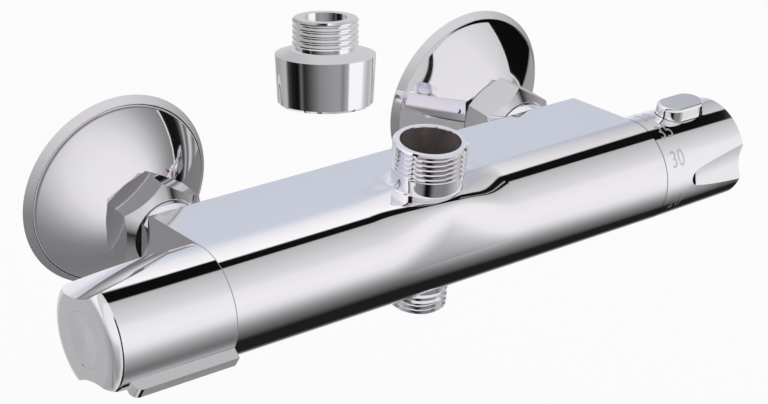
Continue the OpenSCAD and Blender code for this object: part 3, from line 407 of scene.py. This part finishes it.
def face_cloths(name):
    """Pale cloth in front and a dark one on the right; the cold side also has an edge line and a floor."""
    edge, lean, lowest = FLAG_EDGE[name]

    def cold_details(cloths, colour):
        tree = cloths.tree
        colour = blend(tree, step(tree, cloths.height, *FLOOR_HEIGHT), colour, cloths.plain(FLOOR_GREY))
        side = calc(tree, "SUBTRACT", cloths.heading, calc(tree, "MULTIPLY", cloths.height, SIDE_LEAN))
        outer = cloths.both(step(tree, side, *OUTER_SIDE), step(tree, cloths.height, *OUTER_HEIGHT))
        colour = blend(tree, outer, colour, cloths.plain(OUTER_GREY))
        line = cloths.both(window(tree, side, *EDGE_SIDE), window(tree, cloths.height, *EDGE_HEIGHT))
        return blend(tree, line, colour, cloths.plain(EDGE_GREY))

    def make_cloths(cloths):
        tree = cloths.tree
        facing_y = calc(tree, "MULTIPLY", cloths.y, FACE_WAY_Y)
        facing = calc(tree, "ADD", facing_y, calc(tree, "MULTIPLY", cloths.z, FACE_WAY_Z))
        colour = ramp(tree, cloths.degrees("ARCCOSINE", facing), FACE[name])
        if name == "cold":
            colour = cold_details(cloths, colour)
        near = calc(tree, "SUBTRACT", cloths.turn(cloths.y, cloths.x, 180.0), edge)
        sunk = calc(tree, "MAXIMUM", calc(tree, "SUBTRACT", FLAG_LEANS_BELOW, cloths.height), 0.0)
        past = calc(tree, "SUBTRACT", near, calc(tree, "MULTIPLY", sunk, lean))
        high_enough = step(tree, cloths.height, lowest - 1.5, lowest + 1.5)
        is_flag = cloths.both(window(tree, past, -0.8, 60, 0.4), high_enough)
        return blend(tree, is_flag, colour, ramp(tree, past, FLAG[name]))

    return make_cloths


def rim_cloths(cloths):
    return ramp(cloths.tree, cloths.height, RIM)


def make_tent(name, radius, seen_by, make_cloths, last=False):
    """Dome round the object that lights only the metal of the given objects; the last one is opaque."""
    mesh = bpy.data.meshes.new(name)
    form = bmesh.new()
    bmesh.ops.create_icosphere(form, subdivisions=4, radius=radius)
    form.to_mesh(mesh)
    form.free()
    tent = bpy.data.objects.new(name, mesh)
    tent.location = (0, -WALL_Y * MM, 0)
    bpy.context.collection.objects.link(tent)
    tent.visible_camera = False
    tent.visible_diffuse = False
    tent.visible_shadow = False
    tent.visible_transmission = False
    seers = bpy.data.collections.new(name)
    for thing in seen_by:
        seers.objects.link(thing)
    tent.light_linking.receiver_collection = seers
    material, tree = new_material(name)
    light = tree.nodes.new("ShaderNodeEmission")
    out = tree.nodes.new("ShaderNodeOutputMaterial")
    tree.links.new(make_cloths(Cloths(tree)), light.inputs["Color"])
    if last:
        tree.links.new(light.outputs[0], out.inputs[0])
    else:
        clear = tree.nodes.new("ShaderNodeBsdfTransparent")
        both = tree.nodes.new("ShaderNodeAddShader")
        tree.links.new(light.outputs[0], both.inputs[0])
        tree.links.new(clear.outputs[0], both.inputs[1])
        tree.links.new(both.outputs[0], out.inputs[0])
    mesh.materials.append(material)


make_world()
make_floor()


# Materials
def noise(tree, scale, detail):
    where = tree.nodes.new("ShaderNodeTexCoord")
    made = make(tree, "ShaderNodeTexNoise", Scale=scale, Detail=detail)
    tree.links.new(where.outputs["Object"], made.inputs["Vector"])
    return made.outputs["Fac"]


def two_tone(tree, value, low, low_colour, high, high_colour):
    made = tree.nodes.new("ShaderNodeValToRGB")
    for element, at, colour in zip(made.color_ramp.elements, (low, high), (low_colour, high_colour)):
        element.position = at
        element.color = (*colour, 1)
    tree.links.new(value, made.inputs[0])
    return made.outputs[0]


def spread(tree, value, middle, share, top=1.0):
    """Range of a share to both sides of the middle, as the value goes from 0 to top."""
    low, high = middle * (1 - share), middle * (1 + share)
    made = make(tree, "ShaderNodeMapRange", From_Max=top, To_Min=low, To_Max=high)
    tree.links.new(value, made.inputs["Value"])
    return made.outputs[0]


def finish(tree, colour, roughness, relief, strength, distance, metallic):
    bump = make(tree, "ShaderNodeBump", Strength=strength, Distance=distance)
    shader = make(tree, "ShaderNodeBsdfPrincipled", Metallic=metallic)
    out = tree.nodes.new("ShaderNodeOutputMaterial")
    tree.links.new(relief, bump.inputs["Height"])
    tree.links.new(colour, shader.inputs["Base Color"])
    tree.links.new(roughness, shader.inputs["Roughness"])
    tree.links.new(bump.outputs[0], shader.inputs["Normal"])
    tree.links.new(shader.outputs[0], out.inputs[0])


def chrome(name, tint, roughness):
    """Polished plate: faint orange peel, fine polishing haze and a trace of wear in the gloss."""
    material, tree = new_material(name)
    haze, patch, peel = noise(tree, 1400.0, 4.0), noise(tree, 45.0, 2.0), noise(tree, 140.0, 1.0)
    colour = two_tone(tree, patch, 0.0, [part * 0.97 for part in tint], 1.0, tint)
    gloss = spread(tree, calc(tree, "MULTIPLY", haze, patch), roughness, 0.4, 0.5)
    finish(tree, colour, gloss, peel, 0.02, 0.0003, 1.0)
    return material


def turned(name, tint, dark, roughness):
    """Bare turned metal: colour drifts towards a tarnish, with fine tool marks in the gloss."""
    material, tree = new_material(name)
    drift, marks = noise(tree, 90.0, 4.0), noise(tree, 2200.0, 2.0)
    colour = two_tone(tree, drift, 0.35, dark, 0.65, tint)
    finish(tree, colour, spread(tree, marks, roughness, 0.3), marks, 0.15, 0.0001, 1.0)
    return material


def moulded(name, tint, other, roughness, grain, depth):
    """Moulded plastic, ceramic or rubber: colour drifts a little, over a fine grain."""
    material, tree = new_material(name)
    drift, skin = noise(tree, 120.0, 3.0), noise(tree, grain, 3.0)
    colour = two_tone(tree, drift, 0.3, other, 0.7, tint)
    finish(tree, colour, spread(tree, skin, roughness, 0.15), skin, depth, 0.0001, 0.0)
    return material


MATERIALS = {
    "chrome_body": chrome("chrome_body", (0.950, 0.930, 0.962), 0.045),
    "chrome_knob": chrome("chrome_knob", (0.950, 0.932, 0.962), 0.035),
    "chrome_trim": chrome("chrome_trim", (0.945, 0.925, 0.960), 0.050),
    "brass": turned("brass", (0.78, 0.58, 0.28), (0.55, 0.38, 0.17), 0.28),
    "copper": turned("copper", (0.80, 0.43, 0.28), (0.55, 0.26, 0.15), 0.25),
    "spring_steel": turned("spring_steel", (0.70, 0.70, 0.71), (0.52, 0.52, 0.54), 0.22),
    "ceramic": moulded("ceramic", (0.88, 0.88, 0.85), (0.82, 0.81, 0.78), 0.18, 1500.0, 0.04),
    "white_plastic": moulded("white_plastic", (0.82, 0.81, 0.76), (0.77, 0.76, 0.70), 0.42, 900.0, 0.12),
    "red_plastic": moulded("red_plastic", (0.50, 0.02, 0.02), (0.42, 0.015, 0.015), 0.25, 900.0, 0.06),
    "blue_plastic": moulded("blue_plastic", (0.015, 0.07, 0.42), (0.01, 0.05, 0.34), 0.25, 900.0, 0.06),
    "rubber": moulded("rubber", (0.030, 0.030, 0.031), (0.018, 0.018, 0.018), 0.62, 1100.0, 0.3),
}
ETCHED = turned("etched_chrome", (0.74, 0.73, 0.75), (0.66, 0.65, 0.67), 0.50)
BORE = moulded("brass_bore", (0.15, 0.12, 0.105), (0.07, 0.058, 0.052), 0.35, 700.0, 0.1)
# Black material for rings of painted shade that stand for the shadow down in the gaps between parts
PAINTED_GAP_SHADE = moulded("gap_shade", (0.012, 0.012, 0.013), (0.006, 0.006, 0.007), 0.9, 900.0, 0.1)

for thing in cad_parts.values():
    for holder in thing.material_slots:
        name = holder.material.name.split(".")[0] if holder.material else ""
        if name in MATERIALS:
            holder.material = MATERIALS[name]


# Mesh helpers
PIECES = {}


def piece(name, shape, at, body, slot, material=None, stands_for=(), sharp=None):
    """One smooth piece that rides on a body; sharp is the angle from which its edges stay hard."""
    verts, faces = shape
    mesh = bpy.data.meshes.new(name)
    mesh.from_pydata([at @ Vector(v) for v in verts], [], faces)
    form = bmesh.new()
    form.from_mesh(mesh)
    bmesh.ops.recalc_face_normals(form, faces=form.faces)
    form.to_mesh(mesh)
    form.free()
    mesh.materials.append(material or MATERIALS[slot])
    made = bpy.data.objects.new(name, mesh)
    bpy.context.collection.objects.link(made)
    mesh.shade_smooth()
    if sharp is not None:
        mesh.set_sharp_from_angle(angle=math.radians(sharp))
    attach(made, body)
    if stands_for:
        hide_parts(*stands_for)
    PIECES[name] = made


def revolve(profile, steps):
    """Closed profile of (radius, z) turned about local z."""
    verts, faces, rings = [], [], []
    for radius, z in profile:
        rings.append([len(verts) + i for i in range(steps)])
        verts += [
            (radius * math.cos(2 * math.pi * i / steps), radius * math.sin(2 * math.pi * i / steps), z)
            for i in range(steps)
        ]
    for a, b in zip(rings, rings[1:] + rings[:1]):
        for i in range(steps):
            j = (i + 1) % steps
            faces.append((a[i], a[j], b[j], b[i]))
    return verts, faces


# Escutcheons as the photo's reflections show them: a thin bevelled rim, a black ring of painted shade for the
# shadow in the gap beside it, and a dome that flattens towards the union nut, where part.scad has a trumpet.
# Millimetres, and slopes in degrees from flat
NECK_R = 14.3
NECK_Y = 58.4
RIM_FRONT_R = 34.5
RIM_Y = 74.2
RIM_SLOPE = 45.5
NECK_SLOPE = 30.5
RIM_GAP = 0.28
FACE_STEPS = 60
ESCUTCHEON_STEPS = 192
ESCUTCHEON_SHARP = 50
BORE_CHAMFER = 0.3


def escutcheon_face():
    """Points from the rim to the neck, with the slope at each, in degrees from flat."""
    face, height = [], 0.0
    for i in range(FACE_STEPS + 1):
        slope = RIM_SLOPE + (NECK_SLOPE - RIM_SLOPE) * i / FACE_STEPS
        face.append((RIM_FRONT_R - (RIM_FRONT_R - NECK_R) * i / FACE_STEPS, height, slope))
        height += math.tan(math.radians(slope)) * (RIM_FRONT_R - NECK_R) / FACE_STEPS
    rise = (RIM_Y - NECK_Y) / face[-1][1]
    return [(radius, RIM_Y - y * rise, slope) for radius, y, slope in face]


def escutcheon_face_profile():
    face = escutcheon_face()
    chamfer_r = ECCENTRIC_BORE_R + BORE_CHAMFER
    inside = []
    for radius, y, slope in face:
        lean = math.radians(slope)
        point = (radius - ESCUTCHEON_WALL * math.sin(lean), y + ESCUTCHEON_WALL * math.cos(lean))
        if point[0] > chamfer_r:
            inside.append(point)
    edge_r, edge_y = RIM_FRONT_R - RIM_GAP, face[0][1] + RIM_GAP
    profile = [(ECCENTRIC_BORE_R, NECK_Y + BORE_CHAMFER), (chamfer_r, NECK_Y)]
    profile += [(radius, y) for radius, y, slope in face[::-1] if radius < edge_r - 0.35]
    profile += [(edge_r - 0.08, edge_y - 0.14), (edge_r, edge_y + 0.05), (edge_r, edge_y + ESCUTCHEON_WALL)]
    return profile + inside + [(ECCENTRIC_BORE_R, inside[-1][1] + 0.5)]


def escutcheon_rim_profile():
    return [
        (RIM_FRONT_R, RIM_Y + 2.0), (RIM_FRONT_R, RIM_Y + 0.12), (RIM_FRONT_R + 0.04, RIM_Y + 0.03),
        (RIM_FRONT_R + 0.12, RIM_Y), (RIM_FRONT_R + 0.24, RIM_Y + 0.06), (RIM_FRONT_R + 0.36, RIM_Y + 0.2),
        (RIM_R - 0.2, WALL_Y - 0.35), (RIM_R - 0.05, WALL_Y - 0.15), (RIM_R, WALL_Y),
        (RIM_R - ESCUTCHEON_WALL, WALL_Y), (RIM_FRONT_R - ESCUTCHEON_WALL, RIM_Y + 2.0)
    ]


# Ring of painted shade: a black band set into the gap inside the rim, where the shadow falls
def escutcheon_gap_shade_profile():
    corners = ((-0.9, 0.55), (0.1, 0.55), (0.1, 0.75), (-0.9, 0.75))
    return [(RIM_FRONT_R + out, RIM_Y + deep) for out, deep in corners]


for side, name in ((-1, "hot"), (1, "cold")):
    at = at_inlet(side)
    face, rim, gap = (
        revolve(profile, ESCUTCHEON_STEPS)
        for profile in (escutcheon_face_profile(), escutcheon_rim_profile(), escutcheon_gap_shade_profile())
    )
    piece(
        f"{name}_escutcheon_face", face, at, "valve", "chrome_trim", stands_for=(f"{name}_escutcheon",),
        sharp=ESCUTCHEON_SHARP
    )
    piece(f"{name}_escutcheon_rim", rim, at, "valve", "chrome_trim", sharp=ESCUTCHEON_SHARP)
    # The gap ring is painted shade: black, for the shadow in the gap beside the rim
    piece(f"{name}_escutcheon_gap", gap, at, "valve", "chrome_trim", material=PAINTED_GAP_SHADE)


# Bare brass inside the outlets, where the plating doesn't reach
BORE_FLOOR = 8.5
BORE_LIP = 0.4
BORE_SKIN = 0.05


def bore_liner(radius, end, up):
    inner, z0, z1 = radius - BORE_SKIN, BORE_FLOOR, end - BORE_LIP
    verts, faces = revolve([(radius, z0), (radius, z1), (inner, z1), (inner, z0)], 128)
    return [(x, y, z * up) for x, y, z in verts], faces


for name, radius, end, up in (("top", TOP_BORE_R, TOP_END, 1), ("bottom", BOTTOM_BORE_R, BOTTOM_END, -1)):
    liner = bore_liner(radius, end, up)
    piece(f"{name}_outlet_bore", liner, AT_BAR, "valve", "brass", material=BORE, sharp=50)


# Painted shade: a black ring that stands for the shadow in the gap round the flow knob's end cap
CAP_GAP_OUT = 0.15
CAP_GAP_HALF_WIDTH = 0.24
CAP_GAP_HALF_DEPTH = 0.14


def make_cap_gap_shade():
    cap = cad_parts["flow_knob_cap"]
    box = [cap.matrix_world @ Vector(corner) for corner in cap.bound_box]
    low, high = (Vector([pick(corner[i] for corner in box) / MM for i in range(3)]) for pick in (min, max))
    middle = (low + high) / 2
    radius = (high.z - low.z) / 2 + CAP_GAP_OUT
    turns = [math.radians(15 * i) for i in range(24)]
    ring = [(radius + math.cos(t) * CAP_GAP_HALF_WIDTH, math.sin(t) * CAP_GAP_HALF_DEPTH) for t in turns]
    at = place((0, 0, 1), (0, 1, 0), (-1, 0, 0), (low.x + CAP_GAP_HALF_DEPTH, middle.y, middle.z))
    piece("flow_knob_cap_gap_shade", revolve(ring, 128), at, "flow_control", "chrome_knob", material=PAINTED_GAP_SHADE)


make_cap_gap_shade()


# Fillet between the top outlet's collar and the bar's surface
KNEE_OUT, KNEE_UP = 2.0, 0.6
FOOT_OUT, FOOT_IN_FRONT = 7.0, 1.1
SLEEVE_UP = 3.2
KNEE_WAY = (1, -0.32)
SLEEVE_EASE, KNEE_EASE, FAR_EASE = 0.42, 0.3, 0.40
SUNK = 0.03


def bar_height(y):
    if y < BAR_R * math.sin(SHELF_FALL):
        return math.sqrt(max(BAR_R ** 2 - y ** 2, 0.0))
    return SHELF_R / math.cos(SHELF_FALL) - y * math.tan(SHELF_FALL)


def bar_slope(y):
    return (bar_height(y + 0.01) - bar_height(y - 0.01)) / 0.02


def curve(a, a_way, b, b_way, near_share, steps):
    """Cubic from a to b that starts along a_way and ends along b_way, without its first point."""
    reach = math.dist(a, b)
    near, far = near_share * reach / math.hypot(*a_way), FAR_EASE * reach / math.hypot(*b_way)
    p = [
        a, (a[0] + a_way[0] * near, a[1] + a_way[1] * near), (b[0] - b_way[0] * far, b[1] - b_way[1] * far), b
    ]
    line = []
    for j in range(1, steps + 1):
        t = j / steps
        w = ((1 - t) ** 3, 3 * t * (1 - t) ** 2, 3 * t * t * (1 - t), t ** 3)
        line.append(tuple(sum(w[k] * p[k][m] for k in range(4)) for m in (0, 1)))
    return line


def outlet_fillet():
    """Sleeve of the collar, then a flare that runs out on the shelf."""
    around, along = 216, 16
    verts, faces = [], []
    for i in range(around):
        angle = 2 * math.pi * i / around
        e = (math.cos(angle), math.sin(angle))
        front = max(0.0, -e[1])
        sleeve, knee = COLLAR_R + SUNK, COLLAR_R + KNEE_OUT
        foot = COLLAR_R + FOOT_OUT - FOOT_IN_FRONT * front ** 1.5
        start = (sleeve, bar_height(COLLAR_R * e[1]) + SLEEVE_UP)
        bend = (knee, bar_height(knee * e[1]) + KNEE_UP)
        end = (foot, bar_height(foot * e[1]) - SUNK)
        line = [(sleeve, COLLAR_TOP - 0.02), start]
        line += curve(start, (0, -1), bend, KNEE_WAY, SLEEVE_EASE, along)
        line += curve(bend, KNEE_WAY, end, (1, bar_slope(foot * e[1]) * e[1]), KNEE_EASE, along)
        verts += [(radius * e[0], radius * e[1], z) for radius, z in line]
    count = len(line)
    for i in range(around):
        for j in range(count - 1):
            a, b = i * count + j, ((i + 1) % around) * count + j
            faces.append((a, a + 1, b + 1, b))
    return verts, faces


piece("top_outlet_fillet", outlet_fillet(), AT_BAR, "valve", "chrome_body")


# Shoulder in front of the top outlet: how far the bar's surface is carried forward and up there, by its angle
SHOULDER = [
    (90, 0.0, 2.2), (80, -8.5, 2.05), (72, -7.2, 2.43), (62, -5.9, 2.99), (50, -3.6, 4.3), (40, -2.0, 5.4),
    (28, -0.65, 6.1), (18, -0.1, 5.3), (8, 0.05, 3.2), (-2, 0.0, 0.9), (-8, 0.0, 0.0)
]
SHOULDER_HALF = 31.0
SHELF_REACH = 12.0
SMOOTHED_OVER = (-3, -1.5, 0, 1.5, 3)


def shoulder_shift(angle):
    for (a, *low), (b, *high) in zip(SHOULDER, SHOULDER[1:]):
        if angle >= b:
            share = (a - angle) / (a - b)
            return [p + (q - p) * share for p, q in zip(low, high)]
    return [0.0, 0.0]


def outlet_shoulder():
    """Rows along the bar, each from the shelf over the top to just below the front."""
    along, behind, steps = 120, 12, 98
    surface_r = BAR_R - SUNK
    verts, faces = [], []
    for i in range(along + 1):
        x = SHOULDER_HALF * (2 * i / along - 1)
        swell = math.cos(math.pi * x / (2 * SHOULDER_HALF)) ** 2
        for j in range(behind, 0, -1):
            y = SHELF_REACH * j / behind
            fade = math.cos(math.pi * y / (2 * SHELF_REACH)) ** 2
            verts.append((x, y, bar_height(y) + swell * fade * SHOULDER[0][2] - SUNK))
        for j in range(steps + 1):
            angle = 90 - j
            near = [shoulder_shift(min(90, angle + k)) for k in SMOOTHED_OVER]
            shift = [sum(values) / len(near) for values in zip(*near)] if j else SHOULDER[0][1:]
            y = -surface_r * math.cos(math.radians(angle)) + swell * shift[0]
            z = surface_r * math.sin(math.radians(angle)) + swell * shift[1]
            verts.append((x, y, z))
    count = behind + steps + 1
    for i in range(along):
        for j in range(count - 1):
            a, b = i * count + j, (i + 1) * count + j
            faces.append((a, b, b + 1, a + 1))
    return verts, faces


piece("top_outlet_shoulder", outlet_shoulder(), AT_BAR, "valve", "chrome_body")


# Etched numbers on the temperature knob: degrees above the front of each number's middle
NUMBERS = [("35", 67.0), ("30", 33.0), ("20", -19.0), ("38", 98.0), ("40", 128.0), ("50", 158.0)]
NUMBER_X = 107.4
NUMBER_W = 6.4
NUMBER_H = 6.6
NUMBER_RAISE = 0.012
LONGEST_EDGE = 0.12


def knob_radius(x):
    return BAR_R - (BAR_R - TEMP_END_R) * max(0.0, x - TEMP_KNOB_Z) / TEMP_KNOB_L


def number_mesh(text):
    """Flat mesh of a number, 1 wide and 1 high about its middle, cut fine enough to bend round the knob."""
    data = bpy.data.curves.new("digits", "FONT")
    data.body = text
    data.size = 1.0
    data.space_character = 1.05
    data.resolution_u = 6
    holder = bpy.data.objects.new("digits", data)
    bpy.context.collection.objects.link(holder)
    bpy.context.view_layer.update()
    flat = bpy.data.meshes.new_from_object(holder.evaluated_get(bpy.context.evaluated_depsgraph_get()))
    bpy.data.objects.remove(holder)
    form = bmesh.new()
    form.from_mesh(flat)
    bpy.data.meshes.remove(flat)
    bmesh.ops.remove_doubles(form, verts=form.verts, dist=1e-5)
    bmesh.ops.triangulate(form, faces=form.faces)
    for _ in range(2):
        long_edges = [edge for edge in form.edges if edge.calc_length() > LONGEST_EDGE]
        if long_edges:
            bmesh.ops.subdivide_edges(form, edges=long_edges, cuts=1)
            bmesh.ops.triangulate(form, faces=form.faces)
    xs, ys = [v.co.x for v in form.verts], [v.co.y for v in form.verts]
    left, low, wide, high = min(xs), min(ys), max(xs) - min(xs), max(ys) - min(ys)
    verts = [((x - left) / wide - 0.5, (y - low) / high - 0.5) for x, y in zip(xs, ys)]
    faces = [[v.index for v in face.verts] for face in form.faces]
    form.free()
    return verts, faces


def make_number(text, middle):
    flat, faces = number_mesh(text)
    verts = []
    for u, v in flat:
        x = NUMBER_X + u * NUMBER_W
        radius = knob_radius(x) + NUMBER_RAISE
        angle = math.radians(middle) + v * NUMBER_H / radius
        verts.append((x, -radius * math.cos(angle), radius * math.sin(angle)))
    piece(f"number_{text}", (verts, faces), AT_BAR, "temp_control", "chrome_knob", material=ETCHED)


for text, middle in NUMBERS:
    make_number(text, middle)


# Rounded edges on the flow knob and the union nuts
ROUND_FROM_ANGLE = math.radians(32)


def round_edges(name, width):
    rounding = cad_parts[name].modifiers.new("rounded_edges", "BEVEL")
    rounding.limit_method = "ANGLE"
    rounding.angle_limit = ROUND_FROM_ANGLE
    rounding.width = width * MM
    rounding.segments = 3
    rounding.harden_normals = True


for name, width in (("flow_knob", 0.35), ("hot_union_nut", 0.5), ("cold_union_nut", 0.5)):
    round_edges(name, width)


# Who sees which tent
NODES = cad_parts


def things(*names):
    return [PIECES.get(name) or NODES[name] for name in names]


TENTS = [
    ("tent_hot", things("hot_escutcheon_face"), face_cloths("hot")),
    ("tent_cold", things("cold_escutcheon_face"), face_cloths("cold")),
    ("tent_rims", things("hot_escutcheon_rim", "cold_escutcheon_rim"), rim_cloths),
    ("tent_adapter", things("outlet_adapter", "adapter_washer"), adapter_cloths),
    ("tent_collar", things("top_outlet_fillet"), collar_cloths),
    ("tent_flow_knob", things("flow_knob", "flow_knob_cap"), flow_knob_cloths),
    ("tent_nuts", things("hot_union_nut", "cold_union_nut"), nut_cloths),
    ("tent_temp_knob", things("temp_knob", "temp_knob_cap"), temp_knob_cloths)
]
taken = [thing for _, seen_by, _ in TENTS for thing in seen_by]
rest = [thing for thing in [*NODES.values(), *PIECES.values()] if thing not in taken]
for index, (name, seen_by, make_cloths) in enumerate(TENTS):
    make_tent(name, TENT_R + TENT_R_STEP * index, seen_by, make_cloths)
make_tent("tent_body", LAST_TENT_R, rest, body_cloths, last=True)

# Pieces that the others' metal doesn't mirror
UNSEEN_STARTS = ("flow_", "adapter_", "outlet_adapter")
UNSEEN = [
    "top_outlet_bore", "bottom_outlet_bore", "flow_knob_cap_gap_shade", "cold_eccentric", "cold_inlet_tail",
    "cold_escutcheon_face", "cold_escutcheon_rim", "cold_escutcheon_gap"
]
unseen = [name for name in NODES if name.startswith(UNSEEN_STARTS) or name.endswith("_marker")]
for thing in things(*unseen, *UNSEEN):
    thing.visible_glossy = False
